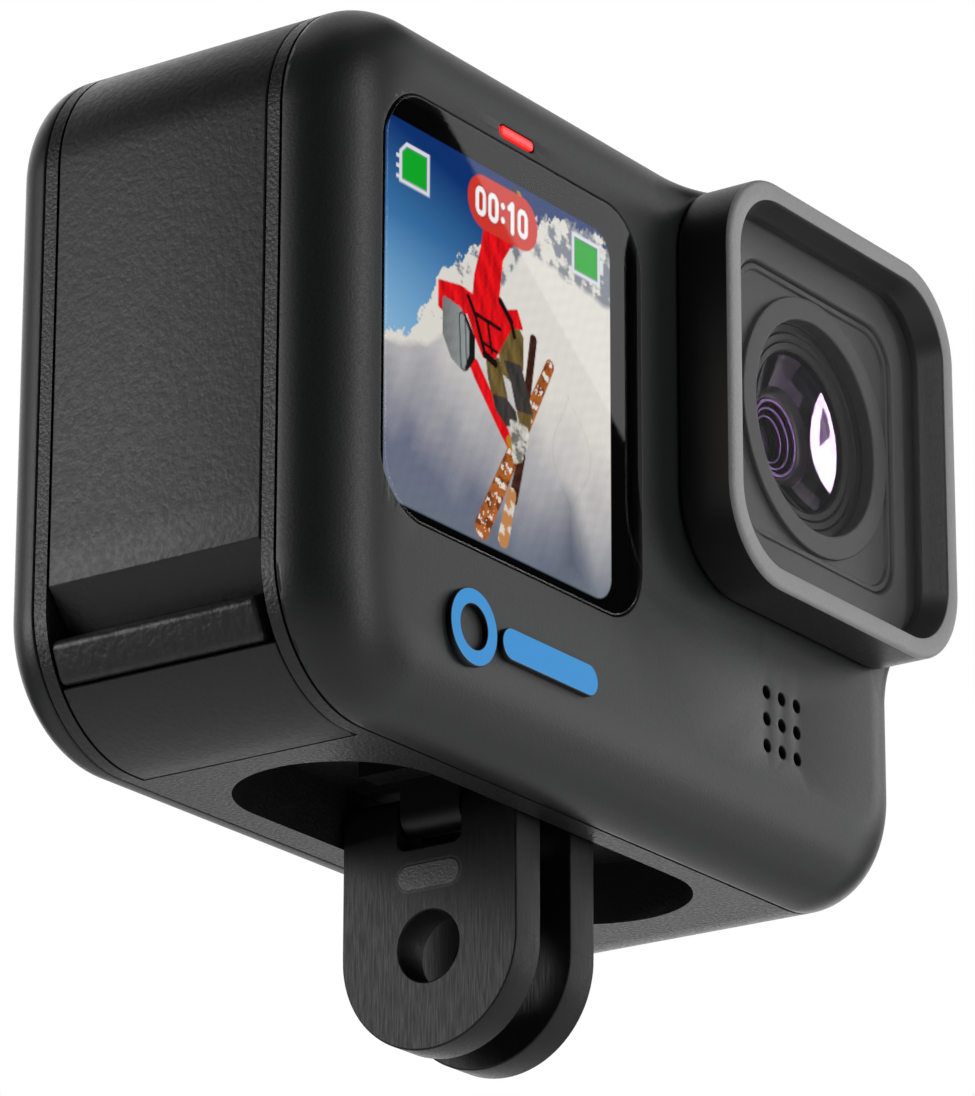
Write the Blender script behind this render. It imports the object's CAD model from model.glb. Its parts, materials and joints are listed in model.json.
"""Looks for the small action camera: casing, battery door, lens cover, lens, display and mounting fingers."""
import json
import math

import bmesh
import bpy
import numpy as np
from mathutils import Matrix, Vector
from mathutils.geometry import delaunay_2d_cdt, tessellate_polygon


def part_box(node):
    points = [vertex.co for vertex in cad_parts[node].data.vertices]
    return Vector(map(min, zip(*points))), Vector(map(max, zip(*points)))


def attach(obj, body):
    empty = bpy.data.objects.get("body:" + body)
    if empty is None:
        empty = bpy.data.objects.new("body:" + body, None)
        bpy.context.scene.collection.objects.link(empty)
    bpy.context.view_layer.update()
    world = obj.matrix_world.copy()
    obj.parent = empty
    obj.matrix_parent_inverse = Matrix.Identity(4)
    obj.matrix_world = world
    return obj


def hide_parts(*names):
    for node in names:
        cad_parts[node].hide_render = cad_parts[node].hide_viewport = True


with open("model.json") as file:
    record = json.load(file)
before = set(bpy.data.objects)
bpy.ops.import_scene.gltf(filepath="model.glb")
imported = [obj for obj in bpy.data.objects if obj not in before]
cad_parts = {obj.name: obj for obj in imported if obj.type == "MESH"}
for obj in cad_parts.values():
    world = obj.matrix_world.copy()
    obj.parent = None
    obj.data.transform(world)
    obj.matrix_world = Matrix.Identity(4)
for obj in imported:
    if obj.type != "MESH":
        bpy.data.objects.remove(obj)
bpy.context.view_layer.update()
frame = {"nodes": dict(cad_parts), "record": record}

bl_info = {
    "name": "Action camera looks",
    "version": (1, 0, 0),
    "blender": (4, 5, 0),
    "location": "View3D > Sidebar > Action camera",
    "description": "Rounded casing, textured door, lens, lit display and studio for the packed action camera",
    "category": "Object",
}

MM = 0.001


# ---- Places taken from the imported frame, in millimetres ----

def box_mm(node):
    """Lowest and highest corner of a CAD node."""
    low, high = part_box(node)
    return np.array(low) / MM, np.array(high) / MM


SHELL_LOW, SHELL_HIGH = box_mm("front_shell")
REAR_LOW, REAR_HIGH = box_mm("rear_shell")
WINDOW_LOW, WINDOW_HIGH = box_mm("front_window_glass")
COVER_LOW, COVER_HIGH = box_mm("cover_frame")
DOOR_LOW, DOOR_HIGH = box_mm("battery_door")
LATCH_LOW, LATCH_HIGH = box_mm("door_latch")
GLASS_LOW, GLASS_HIGH = box_mm("rear_touch_glass")
DOME_LOW, DOME_HIGH = box_mm("front_element")
BARREL_LOW = box_mm("lens_barrel")[0]
BEZEL_LOW, BEZEL_HIGH = box_mm("cover_bezel")
LIGHT_LOW, LIGHT_HIGH = box_mm("status_light_guide")
BADGE_LOW, BADGE_HIGH = box_mm("front_badge")
MIC_LOW, MIC_HIGH = box_mm("front_mic_mesh")
FINGER_LOW, FINGER_HIGH = box_mm("left_finger")
PILL_LOW, PILL_HIGH = box_mm("left_finger_magnet")
SHUTTER_LOW, SHUTTER_HIGH = box_mm("shutter_button")
MODE_LOW, MODE_HIGH = box_mm("mode_button")

HALF_W = (SHELL_HIGH[0] - SHELL_LOW[0]) / 2
HALF_H = (REAR_HIGH[2] - REAR_LOW[2]) / 2
MID_Z = (REAR_HIGH[2] + REAR_LOW[2]) / 2
CORNER_R = 9.6
FRONT_SEAM = SHELL_HIGH[1]
FACE_Y = WINDOW_LOW[1]
REAR_SEAM, BACK_Y = REAR_LOW[1], REAR_HIGH[1]
WINDOW = (WINDOW_LOW + WINDOW_HIGH) / 2
LENS = (DOME_LOW + DOME_HIGH) / 2
COVER_HALF = (COVER_HIGH[0] - COVER_LOW[0]) / 2
SEAM_GAP = 0.1


# ---- Sizes and colours a user may change ----

def linear(code):
    """sRGB hex colour as linear red, green, blue and full alpha."""
    value = np.array([int(code[i:i + 2], 16) for i in (1, 3, 5)]) / 255
    curve = np.where(value <= 0.04045, value / 12.92, ((value + 0.055) / 1.055) ** 2.4)
    return (*curve.tolist(), 1.0)


def length(name, text, default):
    return bpy.props.FloatProperty(name=name, description=text, default=default, unit="LENGTH", precision=5)


def colour(name, text, code):
    return bpy.props.FloatVectorProperty(name=name, description=text, default=linear(code)[:3],
                                         subtype="COLOR", size=3, min=0, max=1)


class CasingSettings(bpy.types.PropertyGroup):
    fillet: length("Front fillet", "Width of the rounding round the front face", 6.46 * MM)
    lip: length("Seam rounding", "Radius of the edge beside each seam", 0.26 * MM)
    blend: length("Boss blend", "Widest reach of the soft blend round the lens boss", 5.0 * MM)
    shell: colour("Shell", "Soft-touch casing", "#1F2021")
    grain: colour("Textured plastic", "Band, door and latch", "#1E1E1F")
    rim: colour("Cover rim", "Satin front rim of the lens cover", "#9A9A9A")


class DetailSettings(bpy.types.PropertyGroup):
    finger_edge: length("Finger edge", "Rounding of the finger edges", 0.14 * MM)
    dome_rise: length("Dome rise", "Height of the front lens dome", 1.85 * MM)
    badge: colour("Badge", "Top of the raised badge", "#0890DB")
    alloy: colour("Fingers", "Brushed coated alloy", "#2B2B2C")
    glow: bpy.props.FloatProperty(name="Display glow", description="Brightness of the display picture",
                                  default=0.92, min=0, max=4)


class StageSettings(bpy.types.PropertyGroup):
    floor_drop: length("Floor", "Height of the floor below the bore", 0.30)
    key: bpy.props.FloatProperty(name="Key", description="Share of the lamps that light the front", default=1,
                                 min=0, max=20)
    side: bpy.props.FloatProperty(name="Side", description="Share of the lamps that light the left side",
                                  default=1, min=0, max=20)
    glare: bpy.props.FloatProperty(name="Glare",
                                   description="Brightness of the card seen in the display glass",
                                   default=1.2, min=0, max=20)


# ---- Numpy shapes ----

def rounded(half_w, half_h, radius, arc=16, run=8):
    """Rounded rectangle as points and outward normals: corner centre plus radius times (cos, sin) round each
    quarter turn, then straight runs shared out between the quarters."""
    quarter = np.linspace(0, math.pi / 2, arc + 1)
    angle = np.arange(4)[:, None] * math.pi / 2 + quarter
    centre = np.array([[1, 1], [-1, 1], [-1, -1], [1, -1]]) * [half_w - radius, half_h - radius]
    normal = np.stack([np.cos(angle), np.sin(angle)], -1)
    bend = centre[:, None] + radius * normal
    share = np.linspace(0, 1, run + 1)[1:-1, None]
    line = bend[:, -1:] * (1 - share) + np.roll(bend, -1, 0)[:, :1] * share
    flat = np.repeat(normal[:, -1:], run - 1, 1)
    return (np.concatenate([bend, line], 1).reshape(-1, 2),
            np.concatenate([normal, flat], 1).reshape(-1, 2))


def round_corners(corners, radii, steps=10):
    """Closed outline with round corners: at each corner an arc tangent to both sides, centred at the radius
    from each side along the bisector. Corners run anticlockwise; a negative radius rounds an inner corner."""
    corners = np.array(corners, float)
    radii = np.array(radii, float)
    before, after = np.roll(corners, 1, 0) - corners, np.roll(corners, -1, 0) - corners
    before /= np.linalg.norm(before, axis=1)[:, None]
    after /= np.linalg.norm(after, axis=1)[:, None]
    bisector = before + after
    bisector /= np.linalg.norm(bisector, axis=1)[:, None]
    half = np.arccos(np.clip((before * after).sum(1), -1, 1)) / 2
    centre = corners + bisector * (np.abs(radii) / np.sin(half))[:, None]
    inner = radii < 0
    a0 = np.arctan2(*(corners + before * (np.abs(radii) / np.tan(half))[:, None] - centre).T[::-1])
    a1 = np.arctan2(*(corners + after * (np.abs(radii) / np.tan(half))[:, None] - centre).T[::-1])
    sweep = (a1 - a0 + math.pi) % (2 * math.pi) - math.pi
    angle = a0[:, None] + sweep[:, None] * np.linspace(0, 1, steps + 1)
    ray = np.stack([np.cos(angle), np.sin(angle)], -1)
    points = centre[:, None] + np.abs(radii)[:, None, None] * ray
    normals = np.where(inner[:, None, None], -ray, ray)
    return points.reshape(-1, 2), normals.reshape(-1, 2)


def circle(radius, count=64):
    """Circle as points and outward normals: radius times (cos, sin)."""
    angle = np.linspace(0, 2 * math.pi, count, endpoint=False)
    normal = np.stack([np.cos(angle), np.sin(angle)], -1)
    return radius * normal, normal


def stadium(long, wide):
    """Slot with round ends, long way across."""
    return rounded(long / 2, wide / 2, wide / 2 - 1e-4, 16, 4)


def grid(points, wrap_rows=False, wrap_cols=False, slot=0):
    """One island from points on a grid of rows and columns, each cell a face."""
    rows, cols = points.shape[:2]
    r = np.arange(rows if wrap_rows else rows - 1)[:, None]
    c = np.arange(cols if wrap_cols else cols - 1)[None]
    r2, c2 = (r + 1) % rows, (c + 1) % cols
    faces = np.stack([r * cols + c, r * cols + c2, r2 * cols + c2, r2 * cols + c], -1).reshape(-1, 4)
    return points.reshape(-1, 3), faces.tolist(), slot


def cap(loops, place, slot=0):
    """One flat island: the area between the first loop and the holes that the others bound."""
    flat = np.concatenate(loops)
    faces = [list(t) for t in tessellate_polygon([[(*p, 0.0) for p in loop] for loop in loops])]
    return place(flat), faces, slot


def plate(loops, low, high, edge, place, steps=5, slots=(0, 0), back=None):
    """Plate with rounded edges: each (points, normals, sign) loop is carried through its thickness along a
    quarter ellipse at both faces, inset by edge times (1 - sin) at a depth of edge times (1 - cos)."""
    turn = np.linspace(0, math.pi / 2, steps + 1)
    back = edge if back is None else back
    inset = np.concatenate([[edge * 1.15], edge * (1 - np.sin(turn)), back * (1 - np.sin(turn[::-1])),
                            [back * 1.15]])
    depth = np.concatenate([[low], low + edge * (1 - np.cos(turn)), high - back * (1 - np.cos(turn[::-1])),
                            [high]])
    islands = []
    for points, normals, sign in loops:
        rings = points[None] - sign * normals[None] * inset[:, None, None]
        level = np.broadcast_to(depth[:, None, None], rings.shape[:2] + (1,))
        islands.append(grid(place(np.concatenate([rings, level], -1)), False, True, slots[1]))
    for level, shift in ((low, inset[0]), (high, inset[-1])):
        rings = [p - sign * n * shift for p, n, sign in loops]
        islands.append(cap(rings, lambda q, h=level: place(np.column_stack([q, np.full(len(q), h)])),
                           slots[0]))
    return islands


def facing_front(x, z):
    """Puts (across, up, depth) into the part frame about a centre, depth along +Y."""
    return lambda p: np.stack([p[..., 0] + x, p[..., 2], p[..., 1] + z], -1)


def turned(radii, depths, x, z, count=96, slot=0, wrap=False):
    """Surface of revolution about the lens axis: (x + r cos, y, z + r sin) for each profile point."""
    angle = np.linspace(0, 2 * math.pi, count, endpoint=False)
    r, y = np.array(radii)[:, None], np.array(depths)[:, None]
    return grid(np.stack([x + r * np.cos(angle), y + 0 * angle, z + r * np.sin(angle)], -1), wrap, True, slot)


def build(name, body, islands, materials, replaces=(), wall=0, smooth=38):
    """Joins islands into one mesh in metres, welds them, turns every face outwards and marks sharp edges."""
    offset, points, faces, slots = 0, [], [], []
    for p, f, s in islands:
        points.append(p)
        faces += [[i + offset for i in face] for face in f]
        slots += [s] * len(f)
        offset += len(p)
    mesh = bpy.data.meshes.new(name)
    mesh.from_pydata((np.concatenate(points) * MM).tolist(), [], faces)
    mesh.polygons.foreach_set("material_index", slots)
    mesh.polygons.foreach_set("use_smooth", np.ones(len(faces), bool))
    obj = bpy.data.objects.new(name, mesh)
    bpy.context.scene.collection.objects.link(obj)
    for m in materials:
        mesh.materials.append(m)
    bm = bmesh.new()
    bm.from_mesh(mesh)
    bmesh.ops.remove_doubles(bm, verts=bm.verts, dist=2e-7)
    bmesh.ops.dissolve_degenerate(bm, edges=bm.edges, dist=1e-8)
    bmesh.ops.recalc_face_normals(bm, faces=bm.faces)
    bm.to_mesh(mesh)
    bm.free()
    mesh.set_sharp_from_angle(angle=math.radians(smooth))
    if wall:
        solid = obj.modifiers.new("Wall", "SOLIDIFY")
        solid.thickness, solid.offset = wall * MM, -1
    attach(obj, body)
    if replaces:
        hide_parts(*replaces)
    return obj


def lit_only(lamp, pieces):
    """Keeps a lamp's light to those pieces, as a flag would in a studio."""
    group = bpy.data.collections.new(lamp)
    for piece in pieces:
        group.objects.link(piece)
    bpy.data.objects[lamp].light_linking.receiver_collection = group


# ---- Materials ----

def add(tree, kind, links=(), **settings):
    """Adds a node, sets the sockets or properties named and links (socket, source output) pairs into it."""
    n = tree.nodes.new(kind)
    for key, value in settings.items():
        name = key.replace("_", " ")
        if name in n.inputs:
            n.inputs[name].default_value = value
        else:
            setattr(n, key, value)
    for socket, source in links:
        tree.links.new(source, n.inputs[socket])
    return n


def material(name, base, roughness, **settings):
    """New material with a Principled shader of that linear base colour, and its node tree."""
    m = bpy.data.materials.new(name)
    m.use_nodes = True
    shader = m.node_tree.nodes["Principled BSDF"]
    shader.inputs["Base Color"].default_value = (*base[:3], 1)
    shader.inputs["Roughness"].default_value = roughness
    for key, value in settings.items():
        shader.inputs[key.replace("_", " ")].default_value = value
    return m, m.node_tree, shader


def grain(tree, shader, size_mm, depth_mm, rough, stretch=(1, 1, 1), strength=1.0, detail=2.0, tint=None):
    """Noise grain of a real size: bump of a real depth, a roughness range and, if given, a colour range."""
    where = add(tree, "ShaderNodeTexCoord").outputs["Object"]
    spread = add(tree, "ShaderNodeMapping", [("Vector", where)],
                 Scale=tuple(1 / s for s in stretch)).outputs[0]
    noise = add(tree, "ShaderNodeTexNoise", [("Vector", spread)], Scale=1 / (size_mm * MM), Detail=detail,
                Roughness=0.55).outputs["Fac"]
    bump = add(tree, "ShaderNodeBump", [("Height", noise)], Strength=strength, Distance=depth_mm * MM)
    tree.links.new(bump.outputs[0], shader.inputs["Normal"])
    level = add(tree, "ShaderNodeMapRange", [("Value", noise)], From_Min=0.35, From_Max=0.65, To_Min=rough[0],
                To_Max=rough[1])
    tree.links.new(level.outputs[0], shader.inputs["Roughness"])
    if tint:
        ramp = add(tree, "ShaderNodeMix", [("Factor", noise)], data_type="RGBA")
        ramp.inputs[6].default_value, ramp.inputs[7].default_value = tint
        tree.links.new(ramp.outputs[2], shader.inputs["Base Color"])
    return noise


def make_materials(casing, detail):
    """One material for each of the record's slots, and a few for new pieces."""
    made = {}

    def keep(slot, name, base, roughness, **settings):
        m, tree, shader = material(name, base, roughness, **settings)
        made[slot] = m
        return tree, shader

    shell, cloth, rim, alloy = (np.array(c) for c in (casing.shell, casing.grain, casing.rim, detail.alloy))
    # Soft-touch painted polycarbonate: a fine dry spatter of about 0.2 mm that scatters the light softly
    tree, s = keep("shell_plastic", "soft_touch_polycarbonate", shell, 0.39)
    grain(tree, s, 0.2, 0.012, (0.36, 0.42), tint=((*shell * 0.9, 1), (*shell * 1.1, 1)))
    # Spark-eroded polycarbonate band: a gritty spatter about 0.3 mm across that glints one grain at a time
    tree, s = keep("frame_plastic", "spark_eroded_band", cloth, 0.42)
    grain(tree, s, 0.26, 0.05, (0.36, 0.48), detail=1.5, tint=((*cloth * 0.85, 1), (*cloth * 1.2, 1)))
    # Leather-grained polycarbonate door: low pebbles about 0.4 mm across with a soft sheen
    tree, s = keep("door_plastic", "leather_grained_door", cloth, 0.42)
    grain(tree, s, 0.42, 0.03, (0.39, 0.46), detail=1.0, tint=((*cloth * 0.95, 1), (*cloth * 1.05, 1)))
    # The latch bar has the same leather, moulded coarser for grip
    tree, s = keep("latch_plastic", "coarse_leather_latch", cloth * 1.15, 0.42)
    grain(tree, s, 0.6, 0.08, (0.38, 0.48), detail=1.5)
    # Bead-blasted cover front: pale satin with a fine 0.2 mm spatter
    tree, s = keep("cover_rim", "bead_blasted_rim", rim, 0.42)
    grain(tree, s, 0.2, 0.03, (0.38, 0.5), detail=1.0, tint=((*rim * 0.86, 1), (*rim * 1.12, 1)))
    # Moulded cover body: the same plastic in black, a touch glossier than the casing
    tree, s = keep("cover_plastic", "moulded_cover_plastic", linear("#161617"), 0.42)
    grain(tree, s, 0.2, 0.008, (0.38, 0.46))
    # Painted throat: dark grey, evenly dull, so its steps show by shading
    tree, s = keep("cover_inner", "painted_cover_throat", linear("#2E2E2F"), 0.4)
    grain(tree, s, 0.2, 0.008, (0.36, 0.44))
    # Brushed coated alloy: streaks 0.14 mm wide and about 2 mm long, down the finger
    tree, s = keep("finger_alloy", "brushed_coated_alloy", alloy, 0.4, Metallic=0.75)
    grain(tree, s, 0.14, 0.012, (0.34, 0.5), (1, 1, 14), tint=((*alloy * 0.75, 1), (*alloy * 1.3, 1)))
    # Sintered magnet under dark plating: a coarse sandy grain of 0.2 mm
    for slot, name, low, high in (("magnet", "plated_sintered_magnet", "#1C1C1D", "#2A2A2B"),
                                  ("magnet_face", "ground_magnet_face", "#343435", "#6A6A6B")):
        tree, s = keep(slot, name, linear(low), 0.45, Metallic=0.7)
        grain(tree, s, 0.2, 0.03, (0.35, 0.6), tint=(linear(low), linear(high)))
    # Glossy black glass: polished, so only a faint haze varies the gloss
    tree, s = keep("window_glass", "polished_black_glass", linear("#050506"), 0.05)
    grain(tree, s, 6, 0.0, (0.04, 0.07), strength=0.0)
    # Display stack: grey glass and film, nearly smooth
    tree, s = keep("display_panel", "display_stack", linear("#3C434C"), 0.15)
    grain(tree, s, 0.1, 0.002, (0.12, 0.2))
    # Stamped sheet steel: rolled streaks 0.1 mm wide
    tree, s = keep("sheet_steel", "rolled_sheet_steel", linear("#9C9C9E"), 0.35, Metallic=1)
    grain(tree, s, 0.1, 0.004, (0.28, 0.45), (12, 1, 1))
    # Ground steel bar: fine rings across the bar
    tree, s = keep("pin_steel", "ground_steel_pin", linear("#A2A2A4"), 0.25, Metallic=1)
    grain(tree, s, 0.08, 0.003, (0.2, 0.35), (1, 8, 1))
    # Translucent red acrylic, lit from behind: bright in the middle and deeper red at its edge
    tree, s = keep("red_light", "lit_red_acrylic", linear("#FF1E1E"), 0.3, Emission_Color=linear("#FF1C1C"),
                   Emission_Strength=0.95)
    grain(tree, s, 0.3, 0.004, (0.25, 0.35))
    tree, s = keep("red_light_middle", "lit_red_acrylic_middle", linear("#FF4545"), 0.3,
                   Emission_Color=linear("#FF4C4C"), Emission_Strength=0.95)
    grain(tree, s, 0.3, 0.004, (0.25, 0.35))
    # Etched mesh, painted black: 0.35 mm noise in the bump gives the broken look of its holes
    tree, s = keep("black_mesh", "etched_black_mesh", linear("#0C0C0C"), 0.6, Metallic=0.5)
    grain(tree, s, 0.35, 0.06, (0.5, 0.8), detail=0.0)
    # Satin blue acrylic of the badge, with its dark moulded sides
    tree, s = keep("blue_badge", "satin_blue_acrylic", np.array(detail.badge), 0.45,
                   Emission_Color=(*detail.badge, 1), Emission_Strength=0.2)
    grain(tree, s, 0.15, 0.004, (0.4, 0.5))
    tree, s = keep("badge_side", "moulded_badge_side", linear("#060607"), 0.4)
    grain(tree, s, 0.15, 0.004, (0.36, 0.45))
    # Bare rolled aluminium: long soft streaks
    tree, s = keep("bare_aluminium", "rolled_aluminium", linear("#B4B5B8"), 0.35, Metallic=1)
    grain(tree, s, 0.12, 0.004, (0.3, 0.42), (14, 1, 1))
    # Solder mask over a copper pattern: slight waviness and colour drift
    tree, s = keep("circuit_board", "green_solder_mask", linear("#123B22"), 0.35)
    grain(tree, s, 0.8, 0.03, (0.3, 0.42), detail=4.0, tint=(linear("#0E311C"), linear("#1C5231")))
    # Black anodised turned aluminium: matt, with fine turning
    tree, s = keep("black_anodised", "black_anodised_aluminium", linear("#0B0B0C"), 0.42, Metallic=0.4)
    grain(tree, s, 0.12, 0.006, (0.36, 0.5))
    # Moulded black ABS: fine spark texture
    tree, s = keep("black_plastic", "moulded_black_abs", linear("#141415"), 0.45)
    grain(tree, s, 0.25, 0.012, (0.4, 0.52))
    # Silicon: dark violet with a slight colour drift
    tree, s = keep("sensor_chip", "sensor_silicon", linear("#1C1830"), 0.12)
    grain(tree, s, 0.3, 0.001, (0.1, 0.16), tint=(linear("#1A1630"), linear("#2B3050")))
    # Moulded seal rubber: dull, with a soft grain
    tree, s = keep("seal_rubber", "moulded_seal_rubber", linear("#0D0D0D"), 0.75)
    grain(tree, s, 0.3, 0.02, (0.68, 0.85))
    # Printed shrink wrap on the cell
    tree, s = keep("battery_wrap", "printed_shrink_wrap", linear("#15213F"), 0.35)
    grain(tree, s, 1.2, 0.01, (0.3, 0.4), tint=(linear("#131E3A"), linear("#1A294C")))
    # Blue polyester film: an even satin sheen
    tree, s = keep("tab_film", "blue_polyester_film", linear("#0F4C9C"), 0.3)
    grain(tree, s, 0.5, 0.004, (0.26, 0.36))
    # Gold plated contacts: short drawn streaks
    tree, s = keep("contact_brass", "gold_plated_brass", linear("#D8A94C"), 0.25, Metallic=1)
    grain(tree, s, 0.1, 0.003, (0.2, 0.32), (10, 1, 1))
    # Moulded card: dull red with a fine grain
    tree, s = keep("card_plastic", "moulded_card_plastic", linear("#8C1620"), 0.45)
    grain(tree, s, 0.2, 0.01, (0.4, 0.52))
    # Button plastic: satin, a little lighter than the casing
    tree, s = keep("button_plastic", "satin_button_plastic", linear("#2A2A2B"), 0.4)
    grain(tree, s, 0.18, 0.01, (0.36, 0.46), tint=(linear("#262627"), linear("#303031")))
    # Thin clear glass: what is behind shows, and each front face adds its Fresnel reflection once
    for slot, name, haze, ior in (("cover_glass", "coated_clear_glass", 0.02, 1.12),
                                  ("window_clear", "clear_window_glass", 0.015, 1.5),
                                  ("dome_glass", "coated_dome_glass", 0.02, 1.06)):
        m = bpy.data.materials.new(name)
        m.use_nodes = True
        tree = m.node_tree
        tree.nodes.clear()
        fresnel = add(tree, "ShaderNodeFresnel", IOR=ior).outputs[0]
        clear = add(tree, "ShaderNodeBsdfTransparent")
        gloss = add(tree, "ShaderNodeBsdfGlossy")
        gloss.inputs["Roughness"].default_value = haze
        inside = add(tree, "ShaderNodeNewGeometry").outputs["Backfacing"]
        once = add(tree, "ShaderNodeMath", [(1, inside)], operation="SUBTRACT")
        once.inputs[0].default_value = 1
        share = add(tree, "ShaderNodeMath", [(0, fresnel), (1, once.outputs[0])],
                    operation="MULTIPLY").outputs[0]
        mixed = add(tree, "ShaderNodeMixShader", [(0, share), (1, clear.outputs[0]), (2, gloss.outputs[0])])
        add(tree, "ShaderNodeOutputMaterial", [("Surface", mixed.outputs[0])])
        made[slot] = m
    # Inner elements: broad-band coating, whose reflection is purple and the rest black
    tree, s = keep("lens_glass", "purple_coated_lens", linear("#43284C"), 0.14, Metallic=1)
    grain(tree, s, 3, 0.0, (0.12, 0.16), strength=0.0)
    tree, s = keep("lens_rim", "purple_coated_rim", linear("#86609A"), 0.2, Metallic=1)
    grain(tree, s, 3, 0.0, (0.18, 0.24), strength=0.0)
    # Polished edge of the front element: dark coated glass whose mirror shows one bright crescent
    tree, s = keep("lens_bevel", "polished_element_edge", linear("#2E2434"), 0.1, Metallic=1)
    grain(tree, s, 2, 0.0, (0.04, 0.06), strength=0.0)
    # Satin inside of the barrel, tinted by the coatings in front of it
    tree, s = keep("lens_cone", "satin_tinted_barrel", linear("#1C141E"), 0.32)
    grain(tree, s, 0.3, 0.003, (0.28, 0.36))
    # Lit display: the picture is a colour attribute, so it glows and takes no light of its own
    tree, s = keep("picture", "lit_display_picture", (0.0, 0.0, 0.0), 0.3, Emission_Strength=detail.glow)
    paint = add(tree, "ShaderNodeAttribute", attribute_name="picture").outputs["Color"]
    tree.links.new(paint, s.inputs["Emission Color"])
    s.inputs["Specular IOR Level"].default_value = 0.0
    return made


MATERIALS = {}


def finish_of(slot):
    if not MATERIALS:
        MATERIALS.update(make_materials(bpy.context.scene.camera_casing, bpy.context.scene.camera_detail))
    return MATERIALS[slot]


# ---- Operators ----

class CAMERA_OT_finishes(bpy.types.Operator):
    """Gives each CAD node the finish of its material slot"""
    bl_idname = "camera_part.finishes"
    bl_label = "CAD finishes"

    def execute(self, context):
        for row in frame["record"]["subparts"]:
            mesh = frame["nodes"][row["node"]].data
            mesh.materials.clear()
            mesh.materials.append(finish_of(row["material_slot"]))
        return {"FINISHED"}


def fillet_y(inset, width, lip, rise):
    """Front surface height over an inset from the outline: a quarter ellipse from the seam to the face."""
    share = np.clip(1 - inset / width, 0, 1)
    return FRONT_SEAM - lip - (rise - lip) * np.sqrt(1 - share ** 2)


def shell_rings(seam, face, width, lip):
    """Rows of a rounded shell: the lip's quarter circle at the seam, then a quarter ellipse to the face."""
    toward = 1 if face > seam else -1
    turn = np.linspace(0, math.pi / 2, 7)
    inset = np.concatenate([[0.5], lip * (1 - np.sin(turn))])
    level = np.concatenate([[seam], seam + toward * (SEAM_GAP + (lip - SEAM_GAP) * (1 - np.cos(turn)))])
    turn = np.linspace(0, math.pi / 2, 29)[1:]
    inset = np.concatenate([inset, width * (1 - np.cos(turn))])
    level = np.concatenate([level, seam + toward * (lip + (abs(face - seam) - lip) * np.sin(turn))])
    rings = []
    for d, y in zip(inset, level):
        p, _ = rounded(HALF_W - d, HALF_H - d, max(CORNER_R - d, 0.3), 24, 10)
        rings.append(np.stack([p[:, 0], np.full(len(p), y), p[:, 1] + MID_Z], -1))
    return np.array(rings)


def skin_between(rings, holes, skin):
    """Casing skin inside the first ring and outside the holes: triangles through all the loops' points, each
    raised to the skin's depth there."""
    points = np.concatenate(rings + holes)
    edges, start = [], 0
    for loop in rings + holes:
        n = len(loop)
        edges += [(start + i, start + (i + 1) % n) for i in range(n)]
        start += n
    flat, _, faces, *_ = delaunay_2d_cdt([tuple(p) for p in points], edges, [], 0, 1e-7)
    flat, faces = np.array([tuple(p) for p in flat]), np.array([tuple(f) for f in faces])
    middle = flat[faces].mean(1)
    keep = np.ones(len(faces), bool)
    for loop in holes:
        a, b = loop, np.roll(loop, -1, 0)
        side = (b - a)[None, :, 0] * (middle[:, None, 1] - a[None, :, 1]) - (b - a)[None, :,
                                                                                    1] * (middle[:, None,
                                                                                                 0] - a[None,
                                                                                                        :, 0])
        keep &= ~(side > 0).all(1)
    return np.column_stack([flat[:, 0], skin(flat), flat[:, 1] + MID_Z]), faces[keep].tolist(), 0


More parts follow.
